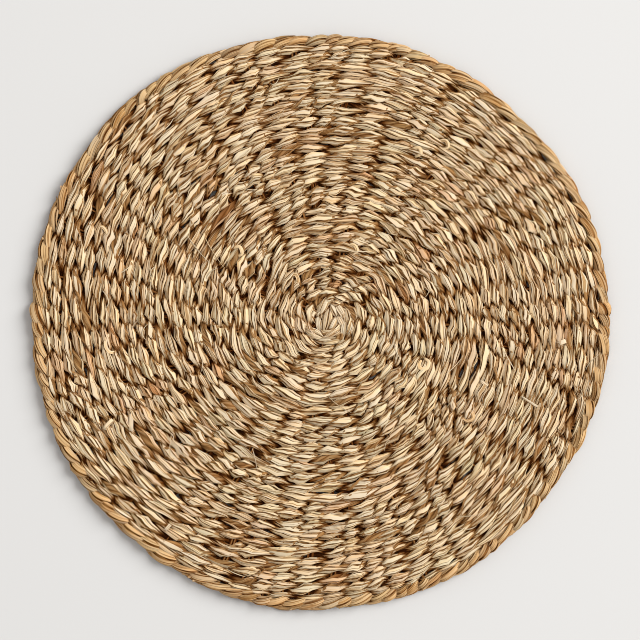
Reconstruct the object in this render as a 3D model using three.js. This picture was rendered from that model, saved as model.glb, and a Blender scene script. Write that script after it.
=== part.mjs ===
// Round charger mat twined from dried sea grass, lying flat with its underside at z = 0.
// Units are millimetres, +Z up. The mat is one piece of work: a pair of grass strands twined in a
// single spiral over radial spokes, whose ends are turned back at the rim as a row of loops.
// The solid has the mat's uneven outline, a raised rib for each round and the looped border.

import * as THREE from 'three';

const matDiameter = 380;
const matThickness = 8.4;

// The weave: rounds of the spiral, the depth of the groove between two rounds, and where the
// spiral starts, a little off the middle of the outline.
const rounds = 30;
const grooveDepth = 2.2;
const startRadius = 1;
const startOffset = { x: 6, y: 2 };

// The border: the width of the row of loops, how many there are, how far each one bulges, and how
// far, in loops, the row is pulled tight on one side of the rim and left slack on the other.
const borderWidth = 6;
const borderLoops = 56;
const loopBulge = 1.2;
const loopWander = { count: 4, swing: 0.7 };
const crestInset = 2.6;
const crestDrop = 0.5;
const footInset = 1.3;
const bellyHeight = 4.2;

// Slow waves of the outline: how many around the rim, swing in mm and phase in degrees.
const outlineWaves = [
  { count: 2, swing: 0.75, phase: 43 },
  { count: 3, swing: 0.93, phase: -41 },
  { count: 5, swing: 0.33, phase: -5 },
  { count: 6, swing: 0.44, phase: -83 },
  { count: 8, swing: 0.6, phase: 128 },
];

const matColour = 0xc4a678;
const matRoughness = 0.8;

// One column of the spiral for each border loop, and four points on the rim for each loop.
const columns = borderLoops;
const pointsPerLoop = 4;
const rimPoints = borderLoops * pointsPerLoop;

const rimRadius = matDiameter / 2;
const borderRadius = rimRadius - borderWidth;
const lastGroove = 0.25;
const pitch = (borderRadius - startRadius) / (rounds + lastGroove);
const grooveHeight = matThickness - grooveDepth;

// Distance from the start of the weave to the outline in the direction of an angle.
function reach(angle) {
  const offCentre = startOffset.x * Math.cos(angle) + startOffset.y * Math.sin(angle);
  const waves = outlineWaves.map(
    (wave) => wave.swing * Math.cos(wave.count * angle + THREE.MathUtils.degToRad(wave.phase)),
  );
  return rimRadius - offCentre + waves.reduce((sum, wave) => sum + wave, 0);
}

// A point of the mat at a nominal radius: the inner rounds are true circles about the start of
// the weave, and the outer ones follow the outline more and more closely.
function matPoint(radius, angle, height) {
  const share = radius / rimRadius;
  const stretched = radius + (reach(angle) - rimRadius) * share ** 3;
  return new THREE.Vector3(
    startOffset.x + stretched * Math.cos(angle),
    startOffset.y + stretched * Math.sin(angle),
    height,
  );
}

// Points and triangles of the mat, gathered one by one.
const points = [];
const triangles = [];

function addPoint(radius, angle, height) {
  points.push(matPoint(radius, angle, height));
  return points.length - 1;
}

function addTriangle(a, b, c) {
  triangles.push(a, b, c);
}

function addQuad(a, b, c, d) {
  addTriangle(a, b, c);
  addTriangle(a, c, d);
}

const columnAngle = (index) => (2 * Math.PI * index) / columns;
const rimAngle = (index) => (2 * Math.PI * index) / rimPoints;

// A closed ring of points around the rim, with the loops bulging by a share of their full bulge.
function rimRing(radius, bulgeShare, height) {
  return Array.from({ length: rimPoints }, (unused, index) => {
    const angle = rimAngle(index);
    const wander = loopWander.swing * Math.sin(loopWander.count * angle);
    const loopTurn = (borderLoops * angle) / (2 * Math.PI) + wander;
    const bulge = Math.abs(Math.sin(Math.PI * loopTurn)) - 0.5;
    return addPoint(radius + 2 * loopBulge * bulgeShare * bulge, angle, height);
  });
}

// The spiral: a groove line and a ridge line half a pitch outside it, both climbing one pitch a
// turn. The ridge of the last turn sinks as its round tapers out against the border.
const spiralSteps = rounds * columns;
const grooveRadius = (index) => startRadius + (pitch * index) / columns;
const border = Array.from({ length: columns }, (unused, index) =>
  addPoint(borderRadius, columnAngle(index), grooveHeight),
);
const groove = [];
const ridge = [];
for (let index = 0; index <= spiralSteps; index += 1) {
  const angle = columnAngle(index);
  const inner = grooveRadius(index);
  const outer = Math.min(grooveRadius(index + columns), borderRadius);
  const fullness = (outer - inner) / pitch;
  groove.push(addPoint(inner, angle, grooveHeight));
  ridge.push(addPoint((inner + outer) / 2, angle, grooveHeight + grooveDepth * Math.min(fullness, 1)));
}

// The middle of the mat, closed by a fan inside the first turn.
const middle = addPoint(0, 0, matThickness);
for (let index = 0; index < columns; index += 1) {
  addTriangle(middle, groove[index], groove[index + 1]);
}
addTriangle(middle, groove[columns], ridge[0]);
addTriangle(middle, ridge[0], groove[0]);

// The inner flank of every round, then the outer flank up to the last turn.
for (let index = 0; index < spiralSteps; index += 1) {
  addQuad(groove[index], ridge[index], ridge[index + 1], groove[index + 1]);
}
const lastTurn = spiralSteps - columns;
for (let index = 0; index < lastTurn; index += 1) {
  addQuad(ridge[index], groove[index + columns], groove[index + columns + 1], ridge[index + 1]);
}

// The last turn runs out against the border, round the cut end of the spiral.
const end = [ridge[lastTurn], groove[spiralSteps], ridge[spiralSteps], border[0], border[1]];
for (let index = 0; index + 1 < end.length; index += 1) {
  addTriangle(end[index], end[index + 1], ridge[lastTurn + 1]);
}
for (let index = 1; index < columns; index += 1) {
  const next = (index + 1) % columns;
  addQuad(ridge[lastTurn + index], border[index], border[next], ridge[lastTurn + index + 1]);
}

// The looped border: crest, belly and foot, then the flat underside.
const crest = rimRing(rimRadius - crestInset, 0.4, matThickness - crestDrop);
const belly = rimRing(rimRadius, 1, bellyHeight);
const foot = rimRing(rimRadius - footInset, 1, 0);
const underside = addPoint(0, 0, 0);
for (let index = 0; index < columns; index += 1) {
  const next = (index + 1) % columns;
  const fan = Array.from({ length: pointsPerLoop + 1 }, (unused, step) =>
    crest[(index * pointsPerLoop + step) % rimPoints],
  );
  const half = pointsPerLoop / 2;
  for (let step = 0; step < pointsPerLoop; step += 1) {
    addTriangle(step < half ? border[index] : border[next], fan[step], fan[step + 1]);
  }
  addTriangle(border[index], fan[half], border[next]);
}
for (let index = 0; index < rimPoints; index += 1) {
  const next = (index + 1) % rimPoints;
  addQuad(crest[index], belly[index], belly[next], crest[next]);
  addQuad(belly[index], foot[index], foot[next], belly[next]);
  addTriangle(underside, foot[next], foot[index]);
}

const matGeometry = new THREE.BufferGeometry().setFromPoints(points);
matGeometry.setIndex(triangles);
matGeometry.computeBoundingBox();
const boxCentre = matGeometry.boundingBox.getCenter(new THREE.Vector3());
matGeometry.translate(-boxCentre.x, -boxCentre.y, 0);
matGeometry.computeVertexNormals();

const matMaterial = new THREE.MeshStandardMaterial({
  color: matColour,
  roughness: matRoughness,
  metalness: 0,
});
const mat = new THREE.Mesh(matGeometry, matMaterial);
mat.name = 'mat';

const charger = new THREE.Group();
charger.add(mat);

export default charger;
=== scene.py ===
import bpy
import numpy as np
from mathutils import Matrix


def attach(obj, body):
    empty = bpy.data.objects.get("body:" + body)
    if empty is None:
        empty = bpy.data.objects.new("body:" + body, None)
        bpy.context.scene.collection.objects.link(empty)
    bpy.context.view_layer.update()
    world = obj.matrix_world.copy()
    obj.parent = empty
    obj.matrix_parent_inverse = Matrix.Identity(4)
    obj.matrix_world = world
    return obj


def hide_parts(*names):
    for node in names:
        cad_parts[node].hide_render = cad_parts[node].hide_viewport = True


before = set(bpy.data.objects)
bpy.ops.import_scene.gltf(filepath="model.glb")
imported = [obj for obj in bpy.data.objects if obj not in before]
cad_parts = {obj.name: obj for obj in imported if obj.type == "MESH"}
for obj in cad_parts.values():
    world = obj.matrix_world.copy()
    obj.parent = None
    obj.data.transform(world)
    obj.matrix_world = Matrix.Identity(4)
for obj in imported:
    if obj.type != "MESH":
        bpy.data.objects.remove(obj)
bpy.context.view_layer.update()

mm = 0.001
fullTurn = 2 * np.pi
upward = np.array([0.0, 0.0, 1.0])


# the picture, seen straight down

picturePlan = {
    "size": 640,
    "pixel": 380 * mm / 575.3,       # the mat's real width by its width in the picture
    "matMiddle": (320.5, 322.5),     # of the outline, in the picture
}


# mat place from picture: pixels right and down from the mat's middle, as metres right and up
def fromPicture(right, down, height):
    middle, pixel = picturePlan["matMiddle"], picturePlan["pixel"]
    x, y = (np.asarray(right) - middle[0]) * pixel, (middle[1] - np.asarray(down)) * pixel
    return np.stack([x, y, height + 0 * x], axis=-1)


# the mat's plan

matPlan = {
    "diameter": 380 * mm,
    "rounds": 30,
    "startRadius": 1 * mm,           # where the spiral of strands begins
    "startOffset": (6 * mm, 2 * mm),  # the start of the weave sits off the outline's middle
    "borderWidth": 6 * mm,
    "lastGroove": 0.25,              # share of a round left over where the spiral runs out
    "outlineSteps": 720,             # points at which the outline's middle is measured
    "midHeight": 4.2 * mm,
    "heights": (0.05 * mm, 8.6 * mm),  # nothing lies lower or stands higher
    "squeezeStart": 0.86,            # share of the way to a face
    "outlineWaves": [                # count around the rim, swing, phase in degrees
        (2, 0.75 * mm, 43),
        (3, 0.93 * mm, -41),
        (5, 0.33 * mm, -5),
        (6, 0.44 * mm, -83),
        (8, 0.60 * mm, 128),
    ],
    "wander": [                      # count around, turns from middle to rim, swing of the rounds
        (3, 1.5, 0.8 * mm),
        (5, -2.5, 0.7 * mm),
        (8, 3.5, 0.5 * mm),
        (13, -5.0, 0.22 * mm),
        (21, 7.0, 0.14 * mm),
        (34, -9.0, 0.08 * mm),
    ],
    "wanderPhase": 1.7,              # from one of these waves to the next
    "wanderFade": (4, 6),            # the higher, the shorter the fade, at the middle and at the rim
}

rimRadius = matPlan["diameter"] / 2
borderRadius = rimRadius - matPlan["borderWidth"]
roundPitch = (borderRadius - matPlan["startRadius"]) / (matPlan["rounds"] + matPlan["lastGroove"])
midHeight = matPlan["midHeight"]


# reach: rim radius less the offset of the weave's start along the angle, plus the outline's waves
def reach(angle):
    offX, offY = matPlan["startOffset"]
    total = rimRadius - offX * np.cos(angle) - offY * np.sin(angle)
    for count, swing, phase in matPlan["outlineWaves"]:
        total = total + swing * np.cos(count * angle + np.radians(phase))
    return total


# plain place: start of the weave plus radius along the angle, stretched by its share cubed so that
# inner rounds are circles and outer ones follow the outline
def plainPlace(radius, angle):
    stretched = radius + (reach(angle) - rimRadius) * (radius / rimRadius) ** 3
    offX, offY = matPlan["startOffset"]
    return offX + stretched * np.cos(angle), offY + stretched * np.sin(angle)


rimX, rimY = plainPlace(rimRadius, np.linspace(0, fullTurn, matPlan["outlineSteps"]))
outlineMiddle = ((rimX.min() + rimX.max()) / 2, (rimY.min() + rimY.max()) / 2)


# mat place: plain place with the outline's middle moved to the origin, and a height
def matPlace(radius, angle, height):
    x, y = plainPlace(radius, angle)
    return np.stack([x - outlineMiddle[0], y - outlineMiddle[1], height + 0 * x], axis=-1)


# wander: sine waves around the mat that also turn with the radius, fading out at middle and rim
def wander(radius, angle):
    share = radius / borderRadius
    fadeIn, fadeOut = matPlan["wanderFade"]
    fade = np.clip(share * fadeIn, 0, 1) * np.clip((1 - share) * fadeOut, 0, 1)
    total = 0 * angle
    for place, (count, turns, swing) in enumerate(matPlan["wander"]):
        phase = fullTurn * turns * share + matPlan["wanderPhase"] * place
        total = total + swing * np.sin(count * angle + phase)
    return total * fade


# unit: vectors divided by their length
def unit(vectors):
    return vectors / np.linalg.norm(vectors, axis=-1, keepdims=True)


# eased: values set for whole stitches, blended between them by a smooth step
def eased(values, stitch):
    first = np.clip(np.floor(stitch).astype(int), 0, len(values) - 2)
    part = np.clip(stitch - first, 0, 1)
    part = part * part * (3 - 2 * part)
    part = part.reshape(part.shape + (1,) * (values.ndim - 1))
    return values[first] * (1 - part) + values[first + 1] * part


# own draws: a function that gives each of a count of things its own normal draw, down a column
def ownDraws(draw, count):
    return lambda spread: draw.normal(0, spread, count)[:, None]


# spokes

spokePlan = {
    "first": 5,                      # spokes crossed at the very start
    "firstAngle": 0.3,
    "gapNear": 6.0 * mm,             # mean stitch length at the middle
    "gapFar": 16.6 * mm,             # mean stitch length at the rim
    "gapGrowth": 40 * mm,            # radius over which the stitches lengthen
    "tooWide": 1.38,                 # a gap this many times the mean takes a new spoke
    "wideSpread": 0.1,
    "addedAt": (0.42, 0.58),         # where in the gap, as shares of it
    "ease": 0.22,                    # how fast neighbours share out a gap, each round
    "sway": 0.9 * mm,                # how far a spoke strays from round to round
    "seed": 23,
}


# mean stitch length: from gapNear to gapFar along one minus a falling exponential of the radius
def meanGap(radius):
    grown = 1 - np.exp(-radius / spokePlan["gapGrowth"])
    return spokePlan["gapNear"] + (spokePlan["gapFar"] - spokePlan["gapNear"]) * grown


# spokes by round: start from a few, ease each towards the middle of its neighbours, and add one
# in every gap that has grown too wide; each round keeps the spokes' angles and numbers
def laySpokes():
    draw = np.random.default_rng(spokePlan["seed"])
    angles = np.arange(spokePlan["first"]) * fullTurn / spokePlan["first"]
    angles = angles + spokePlan["firstAngle"]
    numbers = np.arange(len(angles))
    byRound = []
    for turn in range(matPlan["rounds"] + 1):
        radius = matPlan["startRadius"] + roundPitch * (turn + 0.5)
        gaps = np.diff(np.append(angles, angles[0] + fullTurn))
        angles = angles + spokePlan["ease"] * (gaps - np.roll(gaps, 1)) / 2
        angles = angles + draw.normal(0, spokePlan["sway"], len(angles)) / radius
        gaps = np.diff(np.append(angles, angles[0] + fullTurn))
        limit = spokePlan["tooWide"] * meanGap(radius)
        limit = limit * draw.normal(1, spokePlan["wideSpread"], len(gaps))
        wide = np.flatnonzero(gaps * radius > limit)
        added = angles[wide] + gaps[wide] * draw.uniform(*spokePlan["addedAt"], len(wide))
        numbers = np.append(numbers, numbers.max() + 1 + np.arange(len(wide)))
        angles = np.append(angles, added)
        order = np.argsort(angles)
        angles, numbers = angles[order], numbers[order]
        byRound.append((radius, angles, numbers))
    return byRound


spokesByRound = laySpokes()
crossings = np.sort(np.concatenate([
    angles + fullTurn * turn
    for turn, (radius, angles, numbers) in enumerate(spokesByRound[:matPlan["rounds"]])
]))
crossings = crossings[(crossings > 0) & (crossings < fullTurn * matPlan["rounds"])]
print("spokes at the rim:", len(spokesByRound[-1][1]), "stitches on each face:", len(crossings))


# meshes from arrays

ringPlan = {
    "lobeCorners": (0, 0.29, 0.71),  # the crease and two shoulders, as shares of a lobe
    "creasePaintedShade": 0.45,            # painted shade: how much darker a crease is painted than the shoulders
    "flatness": 0.4,                 # of a blade's faces; at one the blade is an ellipse
    "bladePaintedLight": (0.72, 0.5),        # painted light at a blade's edges, and how much more on its upper side; the underside is painted as shaded
    # least painted light, on a blade's underside
    "leastPaintedLight": 0.2,
    "girthWeights": (0.55, 0.45),    # of an ellipse's width and its thickness
    "startRange": 50,                # metres along the grass at which a tube's pattern may start
}


# bundle of blades: a ring of points around each step of a path, out by the out size and sideways
# by the side size; each lobe of the ring is a crease and two shoulders, and all turn with swirl
def bundleRings(path, outDir, sideDir, outSize, sideSize, lobes, swirl, swell, crease):
    corner = np.array(ringPlan["lobeCorners"])
    turn = ((np.arange(lobes)[:, None] + corner) * fullTurn / lobes).ravel()
    turn = turn + swirl[..., None]
    isCrease = np.tile([1.0, 0, 0], lobes)
    away = (1 + np.repeat(swell, len(corner), axis=-1)) * (1 - isCrease * crease)
    outPart = outDir[..., None, :] * (outSize[..., None] * away * np.cos(turn))[..., None]
    sidePart = sideDir[..., None, :] * (sideSize[..., None] * away * np.sin(turn))[..., None]
    points = path[..., None, :] + outPart + sidePart
    # painted shade: the creases darker than the shoulders
    ringPaintedLight = 1 - ringPlan["creasePaintedShade"] * isCrease + 0 * turn
    return points, ringPaintedLight


# flat blade: a ring of points around each step, rolled over by a tilt; its faces are flattened by
# taking the cosine to a small power, and the seam is underneath
def bladeRings(path, outDir, sideDir, outSize, sideSize, tilt, sides):
    turn = np.pi + np.arange(sides) * fullTurn / sides + 0 * outSize[..., None]
    level = np.sign(np.cos(turn)) * np.abs(np.cos(turn)) ** ringPlan["flatness"]
    upDir = outDir * np.cos(tilt)[..., None] + sideDir * np.sin(tilt)[..., None]
    acrossDir = sideDir * np.cos(tilt)[..., None] - outDir * np.sin(tilt)[..., None]
    outPart = upDir[..., None, :] * (outSize[..., None] * level)[..., None]
    sidePart = acrossDir[..., None, :] * (sideSize[..., None] * np.sin(turn))[..., None]
    # painted light: the blade's upper side lighter, its underside painted as shaded
    atEdge, more = ringPlan["bladePaintedLight"]
    ringPaintedLight = np.clip(atEdge + more * np.cos(turn), ringPlan["leastPaintedLight"], 1)
    return path[..., None, :] + outPart + sidePart, ringPaintedLight


# half arc: half the length of an arc on a line's ellipse, as the arc times a mean of its half sizes
def halfArc(arc, line):
    byWidth, byThick = ringPlan["girthWeights"]
    return arc * (byWidth * line["width"] + byThick * line["thick"])


# tube faces: quads between neighbouring rings, and a cap of all the ring's points at both ends
def tubeFaces(tubes, rings, sides):
    base = np.arange(tubes)[:, None, None] * rings * sides
    ring = np.arange(rings - 1)[None, :, None] * sides
    side = np.arange(sides)[None, None, :]
    after = (side + 1) % sides
    quads = np.stack([
        base + ring + side,
        base + ring + after,
        base + ring + sides + after,
        base + ring + sides + side,
    ], axis=-1).reshape(-1, 4)
    firstCap = base[:, 0] + np.arange(sides)[None, ::-1]
    lastCap = base[:, 0] + (rings - 1) * sides + np.arange(sides)[None, :]
    return quads, np.concatenate([firstCap, lastCap])


# strand map: metres along the strand and metres around it, at every corner of a quad
def strandCorners(along, sides, girth):
    tubes, rings = along.shape
    shape = (tubes, rings - 1, sides)
    start = np.broadcast_to(along[:, :-1, None], shape)
    stop = np.broadcast_to(along[:, 1:, None], shape)
    low = np.broadcast_to(np.arange(sides) * girth / sides, shape)
    high = low + girth / sides
    pairs = ((start, low), (start, high), (stop, high), (stop, low))
    corners = [np.stack(pair, axis=-1) for pair in pairs]
    return np.stack(corners, axis=-2).reshape(-1, 2)


# squeeze: heights past most of the way from the middle to a face near it ever more slowly
def squeeze(height):
    lowest, highest = matPlan["heights"]
    away = height - midHeight
    room = np.where(away > 0, highest - midHeight, midHeight - lowest)
    share = np.abs(away) / room
    start = matPlan["squeezeStart"]
    past = (share - start) / (1 - start)
    squeezed = start + (1 - start) * (1 - np.exp(-np.maximum(past, 0)))
    return midHeight + np.sign(away) * room * np.where(past > 0, squeezed, share)


bakePlan = {
    "rings": 24,                     # of a tube, in one cell of the bake map
    "margin": 0.04,                  # of a cell, left free all round
    "capRadius": 0.4,                # of a cap's column, and of a cell's height
}


# blocks of a tube: the number of gaps between its rings divided by a block's, rounded up
def blocksOf(rings):
    block = min(rings - 1, bakePlan["rings"])
    return -(-(rings - 1) // block)


# bake map: each block of rings has its own cell of a grid over the unit square, and a tube's caps are
# circles in a column before its first block and after its last; gives the corners of quads and caps
def bakeCorners(tubes, rings, sides, firstCell, cells):
    block = min(rings - 1, bakePlan["rings"])
    perTube = blocksOf(rings)
    columns = int(np.ceil(np.sqrt(cells)))
    lines = -(-cells // columns)

    # in cell: columns across and a share up, inside the cell's margin, as a place in the unit square
    def inCell(cell, across, up):
        margin = bakePlan["margin"]
        u = (cell % columns + margin + (1 - 2 * margin) * across / (block + 2)) / columns
        v = (cell // columns + margin + (1 - 2 * margin) * up) / lines
        return np.stack(np.broadcast_arrays(u, v), axis=-1)

    ring = np.arange(rings - 1)[None, :, None]
    side = np.arange(sides)[None, None, :]
    tube = firstCell + np.arange(tubes)[:, None, None] * perTube
    cell = tube + ring // block
    start = 1 + ring % block
    around = ((0, 0), (0, 1), (1, 1), (1, 0))
    quads = [inCell(cell, start + step, (side + rise) / sides) for step, rise in around]
    turn = side[0] * fullTurn / sides
    across, up = bakePlan["capRadius"] * np.cos(turn), bakePlan["capRadius"] * np.sin(turn)
    first = inCell(tube[:, 0], 0.5 + across, 0.5 - up)
    last = inCell(tube[:, 0] + perTube - 1, block + 1.5 + across, 0.5 + up)
    caps = np.concatenate([first, last])
    return np.stack(quads, axis=-2).reshape(-1, 2), caps.reshape(-1, 2), tubes * perTube


# painted shade by height: darkest in the crevices at mid height
paintedShadePlan = {
    "steep": (6.5, 1.30),            # rise with the distance from mid height, and what is taken off
    "steepLimits": (0.03, 0.80),
    "slow": (2.2, 0.66),
    "slowShare": 0.20,
}


# painted light by height: painted shade, darkest in the crevices at mid height; with the distance from
# mid height, as a share of the way to a face, a steep rise out of the crevices and a slow one nearer the
# face
def paintedLightByHeight(height):
    away = np.abs(height / midHeight - 1)
    rise, less = paintedShadePlan["steep"]
    steep = np.clip(away * rise - less, *paintedShadePlan["steepLimits"])
    rise, less = paintedShadePlan["slow"]
    return steep + paintedShadePlan["slowShare"] * np.clip(away * rise - less, 0, 1)


# tubes piece: batches of tubes, each with its ring points, its path and its values, are squeezed into
# the mat's height and joined into one mesh, written straight from arrays and shaded smooth; what isn't
# on top gets painted shade by its height, darkest at mid height; along tubes with the ridged number of
# sides every lengthwise edge, between points that many apart, stays sharp
def tubesPiece(name, batches, material, ridged=0):
    points, quadList, capList, maps, bakeQuads, bakeCaps = [], [], [], [], [], []
    values = {"tone": [], "tint": [], "paintedLight": []}
    reached, cell = 0, 0
    cells = sum(len(batch["path"]) * blocksOf(batch["path"].shape[1]) for batch in batches)
    for batch in batches:
        rings = batch["rings"].copy()
        rings[..., 2] = squeeze(rings[..., 2])
        tubes, steps, sides = rings.shape[:3]
        quads, caps = tubeFaces(tubes, steps, sides)
        quadList.append(quads + reached)
        capList.append(caps + reached)
        reached += tubes * steps * sides
        quadPlaces, capPlaces, used = bakeCorners(tubes, steps, sides, cell, cells)
        bakeQuads.append(quadPlaces)
        bakeCaps.append(capPlaces)
        cell += used
        points.append(rings.reshape(-1, 3))
        lengths = np.linalg.norm(np.diff(batch["path"], axis=1), axis=-1)
        along = np.cumsum(np.concatenate([batch["start"][:, None], lengths], axis=1), axis=1)
        maps.append(strandCorners(along, sides, batch["girth"]))
        # painted light: the batch's own, times painted shade by height unless it lies on top
        paintedLight = batch["paintedLight"] * (1 if batch.get("onTop") else paintedLightByHeight(rings[..., 2]))
        for key, given in (("tone", batch["tone"]), ("tint", batch["tint"]), ("paintedLight", paintedLight)):
            values[key].append(np.broadcast_to(given, rings.shape[:3]).ravel())
    points = np.concatenate(points)
    corners = np.concatenate([faces.ravel() for faces in quadList + capList])
    sizes = np.concatenate([np.full(len(faces), faces.shape[1]) for faces in quadList + capList])
    starts = np.concatenate([[0], np.cumsum(sizes)[:-1]])
    mesh = bpy.data.meshes.new(name)
    mesh.vertices.add(len(points))
    mesh.vertices.foreach_set("co", points.astype(np.float32).ravel())
    mesh.loops.add(len(corners))
    mesh.loops.foreach_set("vertex_index", corners.astype(np.int32))
    mesh.polygons.add(len(starts))
    mesh.polygons.foreach_set("loop_start", starts.astype(np.int32))
    mesh.update(calc_edges=True)
    mesh.shade_smooth()
    if ridged:
        ends = np.empty(2 * len(mesh.edges), np.int32)
        mesh.edges.foreach_get("vertices", ends)
        sharp = np.abs(ends[::2] - ends[1::2]) == ridged
        mesh.attributes.new("sharp_edge", "BOOLEAN", "EDGE").data.foreach_set("value", sharp)
    for key, parts in values.items():
        layer = mesh.attributes.new(key, "FLOAT", "POINT")
        layer.data.foreach_set("value", np.concatenate(parts).astype(np.float32))
    strand = np.zeros((len(corners), 2), np.float32)
    quadCorners = np.concatenate(maps)
    strand[:len(quadCorners)] = quadCorners
    mesh.uv_layers.new(name="strand").uv.foreach_set("vector", strand.ravel())
    baked = np.concatenate(bakeQuads + bakeCaps).astype(np.float32)
    mesh.uv_layers.new(name="OFBake").uv.foreach_set("vector", baked.ravel())
    mesh.materials.append(material)
    piece = bpy.data.objects.new(name, mesh)
    bpy.context.scene.collection.objects.link(piece)
    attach(piece, "root")
    print(name, "made:", int((sizes - 2).sum()), "triangles")
    return piece


# looks

grassLook = {
    "paintedShadeRamp": (                 # painted shade: what is left of a colour by the painted light; deeper shade is also warmer
        (0.00, (0.040, 0.010, 0.001, 1)),
        (0.15, (0.150, 0.058, 0.011, 1)),
        (0.40, (0.400, 0.260, 0.140, 1)),
        (0.70, (0.700, 0.600, 0.480, 1)),
        (1.00, (1.000, 1.000, 1.000, 1)),
    ),
    "brown": (0.540, 0.305, 0.110, 1),
    "straw": (0.850, 0.622, 0.352, 1),
    "pale": (0.715, 0.595, 0.425, 1),
    "green": (0.560, 0.510, 0.290, 1),
    "rust": (0.500, 0.200, 0.055, 1),
    "strawAt": 0.45,                 # on the way from brown to pale
    "fibres": (40, 1100),            # to a metre, along a strand and around it
    "bands": (12, 560),
    "fibreWeight": 2.2,
    "bandWeight": 0.6,
    "levelDrop": 1.12,               # what is taken off the sum of tone, fibres and bands
    "patches": 40,                   # to a metre
    "patchTint": 0.5,
    "veins": 28,                     # the higher, the thinner the veins, lines of painted shade in the grooves between fibres
    # how dark the veins' painted shade is
    "veinDepth": 0.45,
    "roughness": 0.9,
    "specular": 0.06,
    "bump": 0.8,
    "bumpDepth": 0.5 * mm,
}


# node: a new node of a kind, with the given settings
def addNode(tree, kind, **settings):
    node = tree.nodes.new(kind)
    for key, value in settings.items():
        setattr(node, key, value)
    return node


# feed: a socket takes either another node's output or a fixed value
def feed(tree, socket, value):
    if isinstance(value, bpy.types.NodeSocket):
        tree.links.new(value, socket)
    else:
        socket.default_value = value


# mixed colours: the second colour laid on the first by a factor
def mixColours(tree, factor, first, second, blend="MIX"):
    node = addNode(tree, "ShaderNodeMix", data_type="RGBA", blend_type=blend)
    feed(tree, node.inputs[0], factor)
    feed(tree, node.inputs[6], first)
    feed(tree, node.inputs[7], second)
    return node.outputs[2]


# math: one operation on values or outputs
def mathNode(tree, operation, *values, clamp=False):
    node = addNode(tree, "ShaderNodeMath", operation=operation, use_clamp=clamp)
    for socket, value in zip(node.inputs, values):
        feed(tree, socket, value)
    return node.outputs[0]


# colour ramp: colours at their places, blended in between
def colourRamp(tree, factor, stops):
    node = addNode(tree, "ShaderNodeValToRGB")
    ramp = node.color_ramp
    while len(ramp.elements) < len(stops):
        ramp.elements.new(0.5)
    for element, (place, colour) in zip(ramp.elements, stops):
        element.position = place
        element.color = colour
    feed(tree, node.inputs[0], factor)
    return node.outputs[0]


# noise: cloudy noise about one half, of a scale
def noiseNode(tree, vector, scale, detail, roughness=0.55):
    node = addNode(tree, "ShaderNodeTexNoise")
    node.inputs["Scale"].default_value = scale
    node.inputs["Detail"].default_value = detail
    node.inputs["Roughness"].default_value = roughness
    feed(tree, node.inputs["Vector"], vector)
    return node.outputs[0]


# stretched map: a map's two directions times their own scales
def stretchedMap(tree, vector, along, around):
    node = addNode(tree, "ShaderNodeMapping")
    node.inputs["Scale"].default_value = (along, around, 1)
    feed(tree, node.inputs["Vector"], vector)
    return node.outputs[0]


# grass: the sum of the blade's tone, fibres and bands picks a colour from brown over straw to pale; its
# tint and soft patches lean that to green or rust; it is then multiplied by a painted shade, the darker
# the less painted light the grass has and in the veins, the grooves where the bands cross one half;
# fibres and veins are bump
def grassMaterial(name, look):
    material = bpy.data.materials.new(name)
    material.use_nodes = True
    tree = material.node_tree
    shader = tree.nodes["Principled BSDF"]
    strand = addNode(tree, "ShaderNodeUVMap", uv_map="strand").outputs[0]
    place = addNode(tree, "ShaderNodeTexCoord").outputs["Object"]
    fibres = noiseNode(tree, stretchedMap(tree, strand, *look["fibres"]), 1, 3, 0.6)
    bands = noiseNode(tree, stretchedMap(tree, strand, *look["bands"]), 1, 2)
    patches = noiseNode(tree, place, look["patches"], 2)
    veins = mathNode(tree, "ABSOLUTE", mathNode(tree, "SUBTRACT", bands, 0.5))
    veins = mathNode(tree, "MULTIPLY", veins, look["veins"], clamp=True)
    tone = addNode(tree, "ShaderNodeAttribute", attribute_name="tone").outputs["Fac"]
    tint = addNode(tree, "ShaderNodeAttribute", attribute_name="tint").outputs["Fac"]
    paintedLight = addNode(tree, "ShaderNodeAttribute", attribute_name="paintedLight").outputs["Fac"]
    level = mathNode(tree, "MULTIPLY_ADD", fibres, look["fibreWeight"], tone)
    level = mathNode(tree, "MULTIPLY_ADD", bands, look["bandWeight"], level)
    level = mathNode(tree, "SUBTRACT", level, look["levelDrop"], clamp=True)
    stops = [(0.0, look["brown"]), (look["strawAt"], look["straw"]), (1.0, look["pale"])]
    colour = colourRamp(tree, level, stops)
    leaning = mathNode(tree, "MULTIPLY_ADD", patches, look["patchTint"], tint)
    leaning = mathNode(tree, "SUBTRACT", leaning, look["patchTint"] / 2)
    for sign, leanColour in ((1.0, look["green"]), (-1.0, look["rust"])):
        share = mathNode(tree, "MULTIPLY", leaning, sign, clamp=True)
        colour = mixColours(tree, share, colour, leanColour)
    clear = mathNode(tree, "MULTIPLY_ADD", veins, look["veinDepth"], 1 - look["veinDepth"])
    # painted shade: the colour is multiplied by the ramp's shade, picked by the painted light and the
    # veins
    shade = colourRamp(tree, mathNode(tree, "MULTIPLY", paintedLight, clear), look["paintedShadeRamp"])
    colour = mixColours(tree, 1.0, colour, shade, "MULTIPLY")
    feed(tree, shader.inputs["Base Color"], colour)
    shader.inputs["Roughness"].default_value = look["roughness"]
    shader.inputs["Specular IOR Level"].default_value = look["specular"]
    bump = addNode(tree, "ShaderNodeBump")
    bump.inputs["Strength"].default_value = look["bump"]
    bump.inputs["Distance"].default_value = look["bumpDepth"]
    feed(tree, bump.inputs["Height"], mathNode(tree, "ADD", fibres, veins))
    feed(tree, shader.inputs["Normal"], bump.outputs[0])
    return material


grass = grassMaterial("seaGrass", grassLook)


# the twined strands

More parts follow.
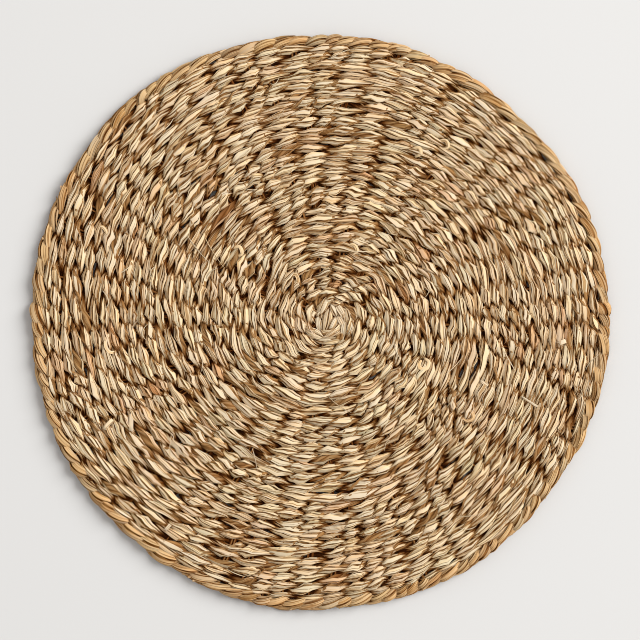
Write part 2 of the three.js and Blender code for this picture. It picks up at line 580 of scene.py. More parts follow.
weftPlan = {
    "halfWidth": 3.20 * mm,          # of a flattened strand over a spoke
    "halfThick": 1.85 * mm,
    "edgeWidth": 1.95 * mm,          # the same where two strands pass each other
    "edgeThick": 1.72 * mm,
    "coreWidth": 3.80 * mm,          # half width of the core under the blades, over a spoke
    "coreThick": 0.70,               # of the strand's thickness
    "coreFill": 0.92,                # how much thicker it is where two strands pass
    "coreNarrow": 0.5,               # how much narrower it is there
    # painted light of the core, low, so that it is painted as shaded under the blades
    "corePaintedLight": 0.46,
    "girth": 14 * mm,
    "fullness": (0.2, 1.4),          # limits of a round's share of its pitch
    "thinnest": 0.6,                 # thickness left where a round has no room at all
    "onEdgePower": 1.6,              # the higher, the shorter a strand stands on edge
    "lean": 1.45 * mm,               # how far a stitch moves in along its length, each way
    "rise": 1.95 * mm,               # of the strand's middle over the spoke
    "startDip": 0.6,                 # how much lower the first turn lies, under the middle's tufts
    "dipEnds": 1.6,                  # turns from the start
    "dwell": 0.15,                   # how much of its turning a strand keeps for the passing places
    "dive": 1.20,                    # the smaller, the steeper a strand goes down between stitches
    "lobes": 4,                      # around the core
    "crease": 0.28,
    "ringsAbove": 5,                 # rings of points to a stitch on the upper face
    "ringsBelow": 4,
    "widthSpread": 0.10,
    "thickSpread": 0.08,
    "leanSpread": 0.35,
    "shiftSpread": 0.42 * mm,
    "passSpread": 0.15,              # how far off the middle of a gap two strands pass, in stitches
    "sinkSpread": 0.22 * mm,
    "swellSpread": 0.10,
    "thinStitches": (0.06, 0.75),    # share of the stitches, and their width
    "evenness": (9, 9, 9),           # of the three blades' shares, the higher the more even
    "swirl": (0.5, 0.5),             # turning of the core from stitch to stitch, and its spread
    "tone": (0.45, 0.04),
    "tintSpread": 0.08,
    "rusty": (0.015, 0.5),           # share of the stitches, and how much redder
    "seeds": (31, 47),
}


# round's middle line and fullness: the spiral climbs one pitch a turn and wanders, a round is as
# full as its neighbours leave it room, and the last turn is squeezed against the border
def roundLine(angle):
    inner = matPlan["startRadius"] + roundPitch * angle / fullTurn
    outer = np.minimum(inner + roundPitch, borderRadius)
    middle = (inner + outer) / 2
    room = outer + wander(outer, angle) - inner - wander(inner, angle)
    return middle + wander(middle, angle), np.clip(room / roundPitch, *weftPlan["fullness"])


# a strand's own unevenness, one draw for every stitch
def drawStrand(first, seed):
    plan = weftPlan
    draw = np.random.default_rng(seed)
    count = len(crossings)
    thinShare, thinWidth = plan["thinStitches"]
    rustyShare, redder = plan["rusty"]
    thin = draw.random(count) < thinShare
    return {
        "first": first,
        "width": np.exp(draw.normal(0, plan["widthSpread"], count)) * np.where(thin, thinWidth, 1),
        "thick": np.exp(draw.normal(0, plan["thickSpread"], count)),
        "lean": draw.normal(1, plan["leanSpread"], count),
        "shares": draw.dirichlet(plan["evenness"], count),
        "shift": draw.normal(0, plan["shiftSpread"], count),
        "sink": np.abs(draw.normal(0, plan["sinkSpread"], count)),
        "early": draw.normal(0, plan["passSpread"], count),
        "swirl": np.cumsum(draw.normal(*plan["swirl"], count)),
        "swell": draw.normal(0, plan["swellSpread"], (count, plan["lobes"])),
        "tone": draw.normal(*plan["tone"], count),
        "tint": draw.normal(0, plan["tintSpread"], count) - (draw.random(count) < rustyShare) * redder,
    }


# a strand's line at any stitch number: its middle moves in by lean times the sine, and up by rise
# times the cosine made steeper between stitches, of a turn that goes half round at every spoke; the
# profile turns with it, slowly where the strand lies flat and fast where it stands on edge
def strandLine(strand, stitch):
    plan = weftPlan
    angle = np.interp(stitch, np.arange(len(crossings)), crossings)
    middle, fullness = roundLine(angle)
    turned = np.pi * (stitch + strand["first"] + eased(strand["early"], stitch))
    turned = turned - plan["dwell"] * np.sin(2 * turned) / 2
    sine, cosine = -np.sin(turned), np.cos(turned)
    onEdge = np.abs(sine) ** plan["onEdgePower"]
    lean = plan["lean"] * eased(strand["lean"], stitch)
    shift = eased(strand["shift"], stitch)
    radius = middle + (lean * sine + shift) * fullness
    lift = cosine * np.sqrt((1 + plan["dive"] ** 2) / (cosine ** 2 + plan["dive"] ** 2))
    sunk = 1 - plan["startDip"] * np.clip(plan["dipEnds"] - angle / fullTurn, 0, 1)
    height = midHeight + (plan["rise"] - eased(strand["sink"], stitch)) * lift * sunk
    radial = np.stack([np.cos(angle), np.sin(angle), 0 * angle], axis=-1)
    width = plan["halfWidth"] + (plan["edgeWidth"] - plan["halfWidth"]) * onEdge
    thick = plan["halfThick"] + (plan["edgeThick"] - plan["halfThick"]) * onEdge
    pressed = plan["thinnest"] + (1 - plan["thinnest"]) * np.minimum(fullness, 1)
    return {
        "path": matPlace(radius, angle, height),
        "outDir": radial * sine[..., None] + upward * cosine[..., None],
        "sideDir": radial * cosine[..., None] - upward * sine[..., None],
        "width": width * eased(strand["width"], stitch) * fullness,
        "thick": thick * eased(strand["thick"], stitch) * pressed,
        "turned": turned,
        "onEdge": onEdge,
        "room": fullness,
    }


# twined strand: a lobed core along the strand's line, with more rings to a stitch on the upper face;
# it is flat and wide over a spoke, and narrower and fuller where two strands pass
def twinedStrand(name, strand):
    plan = weftPlan
    count = len(crossings)
    above = (np.arange(count) + strand["first"]) % 2 == 0
    ringCounts = np.where(above, plan["ringsAbove"], plan["ringsBelow"])
    stitch = np.concatenate([
        number - 0.5 + np.arange(rings) / rings for number, rings in enumerate(ringCounts)
    ])
    stitch = stitch[(stitch >= 0) & (stitch <= count - 1)][None, :]
    line = strandLine(strand, stitch)
    thick = line["thick"] * (plan["coreThick"] + plan["coreFill"] * line["onEdge"] ** 2)
    width = plan["coreWidth"] * line["room"] * (1 - plan["coreNarrow"] * line["onEdge"])
    rings, ringPaintedLight = bundleRings(
        line["path"], line["outDir"], line["sideDir"], thick, width,
        plan["lobes"], eased(strand["swirl"], stitch), eased(strand["swell"], stitch), plan["crease"],
    )
    return tubesPiece(name, [{
        "rings": rings,
        "path": line["path"],
        "girth": plan["girth"],
        "start": np.zeros(1),
        "tone": eased(strand["tone"], stitch)[..., None],
        "tint": eased(strand["tint"], stitch)[..., None],
        # painted shade on the core, more in its creases
        "paintedLight": plan["corePaintedLight"] * ringPaintedLight,
    }], grass)


strands = [drawStrand(first, seed) for first, seed in enumerate(weftPlan["seeds"])]
firstStrand = twinedStrand("first_strand", strands[0])
secondStrand = twinedStrand("second_strand", strands[1])


# single blades on the outside of each stitch

bladePlan = {
    "arc": 1.65,                     # how far around their strand the three blades reach, each way
    "halfThick": 0.34 * mm,
    "parting": 0.02 * mm,            # half the gap between two blades
    "steps": (9, 6),                 # above and below
    "sides": (6, 5),
    "halfRun": 0.82,                 # of a stitch, in spokes
    "slant": 0.12,
    "untwist": 1.25,                 # share of the strand's turning that its blades don't follow
    "taper": 0.72,                   # how much narrower and thinner at the ends
    "keptShare": 0.96,               # of all blades, the others are left out
    "placeSpread": 0.05,             # in stitches
    "runSpread": 0.10,
    "aroundSpread": 0.06,
    "widthSpread": 0.06,
    "tiltSpread": 0.14,
    "tone": (0.06, 0.07),            # how much paler than the strand, and the spread
    "tintSpread": 0.09,
    "rusty": (0.02, 0.4),            # share of the blades, and how much redder
    "girth": 5 * mm,
    "pieces": [                      # name, whether on the upper face, lanes across a stitch, seed
        ("inner_blades", True, (0,), 59),
        ("middle_blades", True, (1,), 61),
        ("outer_blades", True, (2,), 67),
        ("under_blades", False, (0, 1), 73),
    ],
}


oddPlan = {
    # places without blades: right and down in the picture, with a radius in pixels
    "gaps": [(63, 334, 5), (112, 366, 5), (117, 378, 5), (232, 267, 4), (254, 562, 4), (297, 570, 4),
             (302, 585, 4), (369, 593, 4), (315, 300, 5), (262, 297, 3)],
    # places of another colour: the same, how much greener or, below nought, redder, how much paler
    "coloured": [(562, 331, 9, -0.45, -0.10), (172, 220, 9, -0.40, -0.10), (58, 367, 8, -0.40, -0.05),
                 (407, 125, 7, -0.50, 0.0), (390, 140, 6, -0.55, -0.15), (395, 49, 9, -0.40, 0.1),
                 (313, 133, 6, -0.60, -0.05), (297, 561, 7, -0.55, -0.1), (541, 403, 7, -0.55, -0.1),
                 (154, 390, 6, -0.75, 0.15), (350, 455, 60, 0.06, 0.05), (250, 420, 70, 0.05, 0.04)],
    "fadedAt": 1.5,                  # radii from the place at which a colour has faded out
}


# picture distance: of points on the mat from a place in the picture, in pixels
def pictureDistance(points, right, down):
    apart = points - fromPicture(right, down, 0)
    return np.hypot(apart[..., 0], apart[..., 1]) / picturePlan["pixel"]


# riding blade: at an angle around its line it lies on the line's ellipse, flat side along it
def ridingBlade(line, around, halfThick, halfWidth, tilt, sides):
    cosine, sine = np.cos(around)[..., None], np.sin(around)[..., None]
    wide, thick = line["width"][..., None], line["thick"][..., None]
    outDir = unit(line["outDir"] * cosine / thick + line["sideDir"] * sine / wide)
    sideDir = unit(line["sideDir"] * cosine * wide - line["outDir"] * sine * thick)
    path = line["path"] + line["outDir"] * cosine * thick + line["sideDir"] * sine * wide
    rings, ringPaintedLight = bladeRings(path, outDir, sideDir, halfThick, halfWidth, tilt, sides)
    return path, rings, ringPaintedLight


# stitch blades: the three lanes of a stitch share an arc around their strand by its own draws, and the
# chosen ones get a blade that rides on the strand's ellipse and tapers with the run squared; the ends
# go down with the strand, under the next stitch
def stitchBlades(name, above, lanes, seed):
    plan = bladePlan
    draw = np.random.default_rng(seed)
    steps = plan["steps"][0 if above else 1]
    sides = plan["sides"][0 if above else 1]
    run = np.linspace(-1, 1, steps)[None, :]
    rustyShare, redder = plan["rusty"]
    batches = []
    for strand in strands:
        numbers = np.arange(len(crossings))
        isTop = (numbers + strand["first"]) % 2 == 0
        chosen = numbers[isTop == above][1:-1]
        for lane in lanes:
            kept = chosen[draw.random(len(chosen)) < plan["keptShare"]]
            count = len(kept)
            own = ownDraws(draw, count)
            share = strand["shares"][kept, lane][:, None]
            before = strand["shares"][kept, :lane].sum(axis=1)[:, None]
            place = kept[:, None] + own(plan["placeSpread"])
            stitch = place + run * plan["halfRun"] * np.exp(own(plan["runSpread"]))
            stitch = np.clip(stitch, 0, len(crossings) - 1)
            line = strandLine(strand, stitch)
            around = plan["arc"] * (2 * before + share - 1) + own(plan["aroundSpread"])
            around = around + run * own(plan["slant"])
            middleTurn = np.pi * (kept + strand["first"])[:, None]
            around = around + plan["untwist"] * (line["turned"] - middleTurn)
            taper = 1 - plan["taper"] * np.abs(run) ** 2
            halfWidth = share * halfArc(plan["arc"], line) - plan["parting"]
            halfWidth = halfWidth * np.exp(own(plan["widthSpread"])) * taper
            halfThick = plan["halfThick"] * taper + 0 * halfWidth
            tilt = own(plan["tiltSpread"]) + 0 * run
            path, rings, ringPaintedLight = ridingBlade(line, around, halfThick, halfWidth, tilt, sides)
            tone = strand["tone"][kept] + draw.normal(*plan["tone"], count)
            tint = strand["tint"][kept] + draw.normal(0, plan["tintSpread"], count)
            tint = tint - (draw.random(count) < rustyShare) * redder
            centre = path[:, steps // 2]
            for right, down, radius, greener, paler in oddPlan["coloured"]:
                distance = pictureDistance(centre, right, down) / radius
                near = np.clip(oddPlan["fadedAt"] - distance, 0, 1)
                tint = tint + greener * near
                tone = tone + paler * near
            clear = [pictureDistance(centre, *gap[:2]) > gap[2] for gap in oddPlan["gaps"]]
            stays = np.all(clear, axis=0) | (not above)
            batches.append({
                "rings": rings[stays],
                "path": path[stays],
                "girth": plan["girth"],
                "start": draw.uniform(0, ringPlan["startRange"], count)[stays],
                "tone": tone[stays, None, None],
                "tint": tint[stays, None, None],
                # painted light: each blade's underside painted as shaded
                "paintedLight": ringPaintedLight[stays],
            })
    return tubesPiece(name, batches, grass, ridged=sides)


outerBlades = [stitchBlades(*piece) for piece in bladePlan["pieces"]]


# spokes as pairs of thin cords

cordPlan = {
    "apart": 1.25 * mm,
    "halfWidth": 1.25 * mm,
    "halfThick": 1.35 * mm,
    "lobes": 3,
    "crease": 0.3,
    "girth": 8 * mm,
    "leastSteps": 4,                 # along a short cord, longer ones have one to a round
    "leastRadius": 4 * mm,           # inside it the two cords of a spoke draw together
    "past": 2 * mm,                  # how far the cords go on under the border
    "swirl": 0.05,                   # turning of a cord from step to step
    "swellSpread": 0.08,
    "tone": (0.2, 0.1),
    "tint": (-0.15, 0.1),
    "paintedLight": (0.2, 0.3),              # painted light where nothing shows, and how much more where all does; hidden parts are painted as shaded
    "seed": 71,
}


# spoke cords: two lobed cords side by side along each spoke's own angles, from the round where it
# was put in out to the border
def spokeCords():
    plan = cordPlan
    draw = np.random.default_rng(plan["seed"])
    total = spokesByRound[-1][2].max() + 1
    leastPaintedLight, more = plan["paintedLight"]
    batches = []
    for number in range(total):
        known = [(radius, angles[numbers == number][0]) for radius, angles, numbers in spokesByRound
                 if number in numbers]
        radii, angles = np.array(known).T
        steps = max(plan["leastSteps"], len(radii))
        radius = np.linspace(max(radii[0] - roundPitch, 0), borderRadius + plan["past"], steps)
        angle = np.interp(radius, radii, angles)
        for side in (-1, 1):
            apart = side * plan["apart"] / np.maximum(radius, plan["leastRadius"])
            path = matPlace(radius, angle + apart, midHeight)[None]
            along = unit(np.gradient(path[0], axis=0))[None]
            sideDir = unit(np.cross(along, upward))
            size = np.ones((1, steps))
            swirl = np.linspace(0, plan["swirl"] * steps, steps)[None] + draw.uniform(0, fullTurn)
            swell = draw.normal(0, plan["swellSpread"], (1, 1, plan["lobes"])) * np.ones((1, steps, 1))
            rings, ringPaintedLight = bundleRings(
                path, upward + 0 * path, sideDir, plan["halfThick"] * size, plan["halfWidth"] * size,
                plan["lobes"], swirl, swell, plan["crease"],
            )
            batches.append({
                "rings": rings,
                "path": path,
                "girth": plan["girth"],
                "start": draw.uniform(0, ringPlan["startRange"], 1),
                "tone": draw.normal(*plan["tone"]),
                "tint": draw.normal(*plan["tint"]),
                # painted shade on the cords, more in their creases
                "paintedLight": leastPaintedLight + more * ringPaintedLight,
            })
    return tubesPiece("spoke_cords", batches, grass)


cords = spokeCords()


# the border: slanting loops laid over along the rim in two layers, each on the start of the next

borderPlan = {
    # out from the last round in mm, share of the gap to the next loop, and mm over mid height
    "upperRoute": [(0.0, -0.30, -1.4), (1.1, -0.02, 0.9), (2.3, 0.28, 2.1), (3.1, 0.58, 2.3),
                   (3.5, 0.85, 1.6), (3.5, 1.08, 0.2), (3.1, 1.25, -1.4)],
    "lowerRoute": [(1.3, -0.4, 0.0), (2.7, 0.0, -0.4), (3.5, 0.4, -0.8), (3.8, 0.8, -1.1),
                   (3.5, 1.2, -1.6), (2.8, 1.5, -2.2), (1.8, 1.75, -2.4)],
    "perSpoke": 1.5,                 # loops
    "halfWidth": 2.30 * mm,
    "halfThick": 1.6 * mm,
    "taper": (0.45, 2.5),            # how much slimmer at the ends, and how late along the loop
    "outSpread": 0.3 * mm,
    "turnSpread": 0.35 * mm,         # of one end out and the other in
    "lengthSpread": 0.12,
    "placeSpread": 0.12,             # as a share of the gap
    "heightSpread": 0.08,
    "widthSpread": 0.18,
    "thickSpread": 0.12,
    "tones": {"upperRoute": 0.20, "lowerRoute": 0.10},
    "tints": {"upperRoute": -0.03, "lowerRoute": -0.12},
    "toneSpread": 0.14,
    "tintSpread": 0.10,
    # painted light of the border's cores, low so they are painted as shaded, and of its blades, below
    # one to darken them all
    "corePaintedLight": 0.35,
    "bladePaintedLight": 0.76,
    "steps": 11,
    "seed": 83,
}

tuftPlan = {
    "arc": 2.0,                      # how far around the core the blades reach, each way
    "bladeThick": 0.36 * mm,
    "turn": 0.7,                     # of the core, from its middle to an end
    "lobes": 4,
    "crease": 0.32,
    "swellSpread": 0.12,
    "evenness": (5, 8, 5),           # of the three blades' shares, the middle one the widest
    "aroundSpread": 0.06,
    "slant": 0.12,
    "tone": (0.05, 0.12),            # how much paler than the core, and the spread
    "sides": 6,
    "girth": 8 * mm,
}


# smooth route: a curve through the given points, each stretch a cubic whose slopes at its ends are
# half the difference of the points on either side
def smoothRoute(points, steps):
    points = np.asarray(points, float)
    padded = np.concatenate([2 * points[:1] - points[1:2], points, 2 * points[-1:] - points[-2:-1]])
    run = np.linspace(0, len(points) - 1, steps)
    first = np.minimum(run.astype(int), len(points) - 2)
    t = (run - first)[:, None]
    before, start, stop, after = (padded[first + k] for k in range(4))
    leave, arrive = (stop - before) / 2, (after - start) / 2
    return (start * (2 * t**3 - 3 * t**2 + 1) + stop * (3 * t**2 - 2 * t**3)
            + leave * (t**3 - 2 * t**2 + t) + arrive * (t**3 - t**2))


# tuft batches: a lobed core along each line and three blades riding on it, which share an arc around
# it in uneven parts and turn slowly along it
def tuftBatches(draw, line, tone, tint, corePaintedLight, bladePaintedLight=1.0):
    plan = tuftPlan
    count, steps = line["width"].shape
    run = np.linspace(-1, 1, steps)[None]
    own = ownDraws(draw, count)
    swirl = draw.uniform(0, fullTurn, count)[:, None] + plan["turn"] * run
    swell = draw.normal(0, plan["swellSpread"], (count, 1, plan["lobes"])) * np.ones((1, steps, 1))
    rings, ringPaintedLight = bundleRings(
        line["path"], line["outDir"], line["sideDir"], line["thick"], line["width"],
        plan["lobes"], swirl, swell, plan["crease"],
    )
    # painted light: the core painted as shaded by its own value, the blades by theirs
    parts = [(rings, line["path"], corePaintedLight * ringPaintedLight, 0 * tone)]
    shares = draw.dirichlet(plan["evenness"], count)
    for lane in range(len(plan["evenness"])):
        share, before = shares[:, lane][:, None], shares[:, :lane].sum(axis=1)[:, None]
        around = plan["arc"] * (2 * before + share - 1) + own(plan["aroundSpread"])
        around = around + run * (own(plan["slant"]) - plan["turn"] / 2)
        halfThick = plan["bladeThick"] * line["width"] / line["width"].max(axis=1, keepdims=True)
        halfWidth = share * halfArc(plan["arc"], line)
        path, rings, ringPaintedLight = ridingBlade(line, around, halfThick, halfWidth, 0 * around, plan["sides"])
        parts.append((rings, path, bladePaintedLight * ringPaintedLight, draw.normal(*plan["tone"], count)))
    return [{
        "rings": rings,
        "path": path,
        "girth": plan["girth"],
        "start": draw.uniform(0, ringPlan["startRange"], count),
        "tone": (tone + paler)[:, None, None],
        "tint": tint[:, None, None],
        "paintedLight": ringPaintedLight,
        "onTop": True,
    } for rings, path, ringPaintedLight, paler in parts]


# lying line: a path's frame, with its out direction square to the path and as upright as it can be
def lyingLine(path, width, thick):
    along = unit(np.gradient(path, axis=1))
    sideDir = unit(np.cross(along, upward))
    return {
        "path": path,
        "outDir": np.cross(sideDir, along),
        "sideDir": sideDir,
        "width": width,
        "thick": thick,
    }


# border loops: evenly between the spokes' ends, each loop follows the upper or the lower route as a
# tuft, clockwise by its share of the gap before it, and slims down towards both ends
def borderLoops():
    plan = borderPlan
    draw = np.random.default_rng(plan["seed"])
    angles = np.sort(np.mod(spokesByRound[-1][1], fullTurn))
    places = np.linspace(0, len(angles), int(len(angles) * plan["perSpoke"]), endpoint=False)
    angles = np.interp(places, np.arange(len(angles) + 1), np.append(angles, angles[0] + fullTurn))
    gaps = angles - np.roll(angles, 1)
    gaps[0] += fullTurn
    count = len(angles)
    run = np.linspace(-1, 1, plan["steps"])[None]
    own = ownDraws(draw, count)
    slimmer, power = plan["taper"]
    taper = 1 - slimmer * np.abs(run) ** power
    batches = []
    for key in ("upperRoute", "lowerRoute"):
        route = smoothRoute(plan[key], plan["steps"])
        outward = route[None, :, 0] * mm + own(plan["outSpread"]) + run * own(plan["turnSpread"])
        passed = route[None, :, 1] * np.exp(own(plan["lengthSpread"])) + own(plan["placeSpread"])
        angle = angles[:, None] - gaps[:, None] * passed
        height = midHeight + route[None, :, 2] * mm * (1 + own(plan["heightSpread"]))
        path = matPlace(borderRadius + outward, angle, height)
        width = plan["halfWidth"] * np.exp(own(plan["widthSpread"])) * taper
        thick = plan["halfThick"] * np.exp(own(plan["thickSpread"])) * taper
        tone = draw.normal(plan["tones"][key], plan["toneSpread"], count)
        tint = draw.normal(plan["tints"][key], plan["tintSpread"], count)
        line = lyingLine(path, width, thick)
        batches += tuftBatches(draw, line, tone, tint, plan["corePaintedLight"], plan["bladePaintedLight"])
    return tubesPiece("border_loops", batches, grass, ridged=tuftPlan["sides"])


border = borderLoops()


# tufts, stubs, curls and stray fibres on top of the weave, and frayed tips at the rim

loosePlan = {
    "steps": 9,                      # along a tuft or a fibre
    "sides": 6,
    "girth": 6 * mm,
    "toneSpread": 0.1,
    "tintSpread": 0.06,
    "seed": 97,
}

matTop = 2 * midHeight


# aimed path: from places in the picture by shares of a length, along directions in degrees
def aimedPath(right, down, length, turned, share, height):
    reachX = share * (length * np.cos(np.radians(turned)))[:, None]
    reachY = share * (length * np.sin(np.radians(turned)))[:, None]
    return fromPicture(right[:, None] + reachX, down[:, None] - reachY, height)


# loose blades: flat blades along lying lines, each a little off the given tone and tint
def looseBlades(draw, path, halfWidth, halfThick, tone, tint):
    plan = loosePlan
    line = lyingLine(path, halfWidth, halfThick)
    rings, ringPaintedLight = bladeRings(
        path, line["outDir"], line["sideDir"], halfThick, halfWidth, 0 * halfWidth, plan["sides"],
    )
    count = len(path)
    return {
        "rings": rings,
        "path": path,
        "girth": plan["girth"],
        "start": draw.uniform(0, ringPlan["startRange"], count),
        "tone": tone + draw.normal(0, plan["toneSpread"], count)[:, None, None],
        "tint": tint + draw.normal(0, plan["tintSpread"], count)[:, None, None],
        # painted light: the blade's underside painted as shaded
        "paintedLight": ringPaintedLight,
        "onTop": True,
    }


middlePlan = {
    # right, down, length and width in the picture, direction in degrees, then tone and tint
    "places": [(326.6, 319.8, 25, 8, 74, 0.40, -0.05), (332.8, 323.5, 15, 7, 54, 0.60, 0.0),
               (333.7, 310.2, 15, 5, -68, 0.50, 0.05), (340.0, 311.0, 17, 6.5, -70, 0.45, 0.0),
               (347.4, 314.5, 15, 5.5, -80, 0.40, 0.05), (323.5, 306.0, 20, 7.5, 60, 0.45, 0.0),
               (318.8, 324.0, 16, 5, -85, 0.50, 0.05), (333.0, 332.3, 21, 6.5, 25, 0.40, -0.15),
               (314.5, 334.0, 21, 8, -28, 0.55, 0.05), (344.0, 329.0, 17, 5.5, 75, 0.50, 0.0),
               (332.0, 341.0, 21, 6.5, 4, 0.50, 0.05), (340.5, 320.5, 12, 5, -75, 0.42, -0.1)],
    "height": 6.5 * mm,
    "drop": 1.3 * mm,                # how much lower the ends are
    "taper": (0.75, 2.2),            # how much slimmer at the ends, and how late along the tuft
    "thick": 0.62,                   # of the width
    # painted light of the tufts' cores, painted as shaded under their blades
    "corePaintedLight": 0.6,
}


# middle tufts: straight in the picture, with the height falling and the width shrinking to both ends
def middleTufts(draw):
    plan = middlePlan
    run = np.linspace(-1, 1, loosePlan["steps"])[None]
    right, down, length, width, turned, tone, tint = np.array(plan["places"]).T
    height = plan["height"] - plan["drop"] * run ** 2
    path = aimedPath(right, down, length, turned, run / 2, height)
    slimmer, power = plan["taper"]
    taper = (1 - slimmer * np.abs(run) ** power) * (width * picturePlan["pixel"] / 2)[:, None]
    return tuftBatches(draw, lyingLine(path, taper, plan["thick"] * taper), tone, tint, plan["corePaintedLight"])


stubPlan = {
    # right, down, length and width in the picture, direction in degrees
    "places": [(108.5, 424, 13, 5, 45), (131.7, 422, 17, 4.6, 89), (562, 342, 7, 5, 20),
               (484, 383, 9, 4, -35), (168, 527, 8, 4, 50), (530, 402, 21, 2.2, -32)],
    "below": 0.5 * mm,               # the mat's top
    "thick": 0.25,                   # of the width
    "steps": 4,
    "tone": 0.6,
    "tint": -0.05,
}


# cut stubs: straight flat blades of one width, cut off square
def cutStubs(draw):
    plan = stubPlan
    share = np.linspace(-0.5, 0.5, plan["steps"])[None]
    right, down, length, width, turned = np.array(plan["places"]).T
    path = aimedPath(right, down, length, turned, share, matTop - plan["below"])
    flat = 0 * share + (width * picturePlan["pixel"] / 2)[:, None]
    return [looseBlades(draw, path, flat, plan["thick"] * flat, plan["tone"], plan["tint"])]


curlPlan = {
    # bent strands, as places along them in the picture
    "routes": [[(114, 332), (107, 337), (106, 346), (110, 352), (116, 352)],
               [(424, 358), (429, 362), (426, 369), (419, 367), (421, 360)],
               [(464, 410), (471, 411), (473, 418), (467, 421), (462, 417)],
               [(96, 228), (103, 227), (107, 233), (102, 238)],
               [(347, 246), (354, 245), (357, 251), (351, 255)],
               [(439, 141), (446, 141), (448, 147), (442, 149)],
               [(412, 149), (419, 148), (421, 154), (415, 157)],
               [(289, 276), (296, 275), (298, 282), (292, 284)],
               [(233, 248), (240, 247), (242, 254), (236, 256)]],
    "width": 4.2,                    # in pixels
    "below": 0.8 * mm,               # the mat's top
    "sunk": 2.2 * mm,                # how much lower the ends are
    "taper": 0.4,
    "thick": 0.5,                    # of the width
    "steps": 12,
    "tone": 0.25,
    "tint": -0.08,
}


# curled ends: along smooth routes, lower and slimmer towards both ends by the run squared
def curledEnds(draw):
    plan = curlPlan
    run = np.linspace(-1, 1, plan["steps"])[None]
    height = matTop - plan["below"] - plan["sunk"] * run ** 2
    slim = plan["width"] * picturePlan["pixel"] / 2 * (1 - plan["taper"] * run ** 2)
    batches = []
    for places in plan["routes"]:
        route = smoothRoute(places, plan["steps"])[None]
        path = fromPicture(route[..., 0], route[..., 1], height)
        batches.append(looseBlades(draw, path, slim, plan["thick"] * slim, plan["tone"], plan["tint"]))
    return batches


fibrePlan = {
    "count": 70,
    "spread": (0.02, 0.95),          # shares of the area inside the border, from the middle
    "bend": 1.2 * mm,
    "halfLength": (3, 7),            # in mm
    "leanSpread": 0.45,
    "above": 0.05 * mm,              # the mat's top
    "sunk": 0.8 * mm,                # how much lower the ends are
    "halfWidth": 0.32 * mm,
    "taper": 0.6,
    "thick": 0.6,                    # of the width
    "tone": 0.55,
    "tint": 0.0,
}


# stray fibres: thin blades along the rounds, each leaned, bent by the run squared and lower at its ends
def strayFibres(draw):
    plan = fibrePlan
    count = plan["count"]
    run = np.linspace(-1, 1, loosePlan["steps"])[None]
    radius = borderRadius * np.sqrt(draw.uniform(*plan["spread"], count))[:, None]
    bend = draw.normal(0, plan["bend"], count)[:, None] * run ** 2
    along = run * draw.uniform(*plan["halfLength"], count)[:, None] * mm
    leaned = along * np.tan(draw.normal(0, plan["leanSpread"], count))[:, None]
    angle = draw.uniform(0, fullTurn, count)[:, None] + along / radius
    height = matTop + plan["above"] - plan["sunk"] * run ** 2
    path = matPlace(radius + bend + leaned, angle, height)
    thin = plan["halfWidth"] * (1 - plan["taper"] * run ** 2) + 0 * path[..., 0]
    return [looseBlades(draw, path, thin, plan["thick"] * thin, plan["tone"], plan["tint"])]


frayPlan = {
    "count": 46,
    "steps": 5,
    "inside": 1.2 * mm,              # the rim, where the tips start
    "reach": (0.5, 2.2),             # outwards, in mm
    "trail": (1, 5),                 # clockwise along the rim, in mm
    "heights": (1.2, 6.5),           # in mm
    "halfWidth": (0.3, 0.8),         # in mm
    "thick": 0.5,                    # of the width
    "tone": 0.35,
    "tint": -0.25,
}


# frayed tips: straight thin blades from just inside the rim, outwards and clockwise
def frayedTips(draw):
    plan = frayPlan
    count = plan["count"]
    out = np.linspace(0, 1, plan["steps"])[None]
    reached = draw.uniform(*plan["reach"], count)[:, None] * mm * out
    start = draw.uniform(0, fullTurn, count)[:, None]
    angle = start - out * draw.uniform(*plan["trail"], count)[:, None] * mm / rimRadius
    height = draw.uniform(*plan["heights"], count)[:, None] * mm + 0 * out
    path = matPlace(rimRadius - plan["inside"] + reached, angle, height)
    slim = draw.uniform(*plan["halfWidth"], count)[:, None] * mm + 0 * out
    return [looseBlades(draw, path, slim, plan["thick"] * slim, plan["tone"], plan["tint"])]


# loose pieces: all tufts, stubs, curls, fibres and tips, drawn in this order
def loosePieces():
    draw = np.random.default_rng(loosePlan["seed"])
    batches = []
    for kind in (middleTufts, cutStubs, curledEnds, strayFibres, frayedTips):
        batches += kind(draw)
    return tubesPiece("loose_ends", batches, grass, ridged=loosePlan["sides"])


loose = loosePieces()


# camera, light and floor

stagePlan = {
    "cameraHeight": 1.9,
    "sensorWidth": 36,
    "filmSharpness": 0.95,           # pixels that a point of light spreads over
    "keyFrom": (24, 40),             # azimuth and elevation of the main light, in degrees
    "keyDistance": 6,
    "keySize": 4.8,
    "keyPower": 455,
    "skyColour": (1, 0.970, 0.955, 1),
    "skyStrength": 0.61,
    "floorColour": (0.62, 0.617, 0.605, 1),
    "floorRoughness": 0.9,
    "floorHalf": 3.0,
}


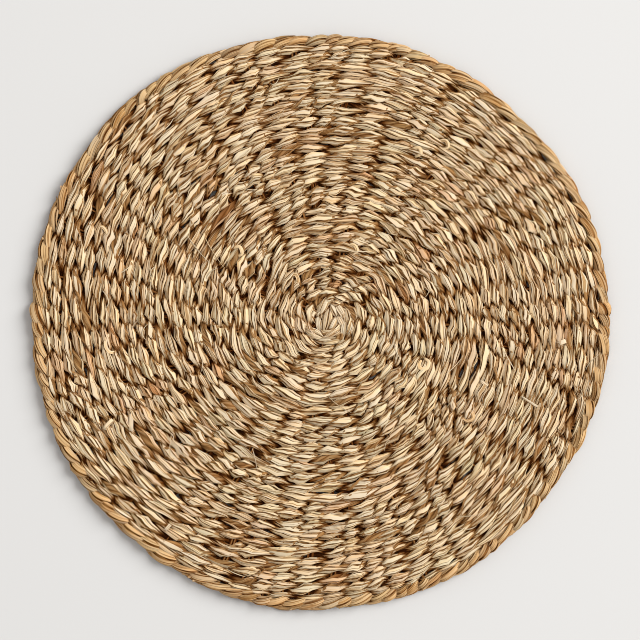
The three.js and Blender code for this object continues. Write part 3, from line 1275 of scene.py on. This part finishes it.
# stage: a camera over the picture's middle, its lens such that the picture's width is what it sees at
# mid height; a disk lamp turned to the origin, an even sky and a square floor
def setStage():
    plan = stagePlan
    scene = bpy.context.scene
    lens = bpy.data.cameras.new("overhead")
    camera = bpy.data.objects.new("overhead", lens)
    scene.collection.objects.link(camera)
    halfPicture = picturePlan["size"] / 2
    camera.location = fromPicture(halfPicture, halfPicture, plan["cameraHeight"])
    lens.sensor_fit = "HORIZONTAL"
    lens.sensor_width = plan["sensorWidth"]
    seen = picturePlan["size"] * picturePlan["pixel"]
    lens.lens = lens.sensor_width * (plan["cameraHeight"] - midHeight) / seen
    scene.camera = camera
    azimuth, elevation = np.radians(plan["keyFrom"])
    toKey = np.array([
        np.cos(azimuth) * np.cos(elevation),
        np.sin(azimuth) * np.cos(elevation),
        np.sin(elevation),
    ])
    lamp = bpy.data.lights.new("keyLight", "AREA")
    lamp.shape = "DISK"
    lamp.size = plan["keySize"]
    lamp.energy = plan["keyPower"]
    key = bpy.data.objects.new("keyLight", lamp)
    key.location = toKey * plan["keyDistance"]
    key.rotation_euler = (np.pi / 2 - elevation, 0, azimuth + np.pi / 2)
    scene.collection.objects.link(key)
    world = bpy.data.worlds.new("softSky")
    world.use_nodes = True
    sky = world.node_tree.nodes["Background"]
    sky.inputs["Color"].default_value = plan["skyColour"]
    sky.inputs["Strength"].default_value = plan["skyStrength"]
    scene.world = world
    scene.view_settings.view_transform = "Standard"
    scene.cycles.filter_width = plan["filmSharpness"]
    floorMaterial = bpy.data.materials.new("paleFloor")
    floorMaterial.use_nodes = True
    floorShader = floorMaterial.node_tree.nodes["Principled BSDF"]
    floorShader.inputs["Base Color"].default_value = plan["floorColour"]
    floorShader.inputs["Roughness"].default_value = plan["floorRoughness"]
    mesh = bpy.data.meshes.new("floor")
    half = plan["floorHalf"]
    corners = [(-half, -half, 0), (half, -half, 0), (half, half, 0), (-half, half, 0)]
    mesh.from_pydata(corners, [], [(0, 1, 2, 3)])
    mesh.materials.append(floorMaterial)
    floor = bpy.data.objects.new("floor", mesh)
    scene.collection.objects.link(floor)


setStage()
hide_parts("mat")
print("stage set")
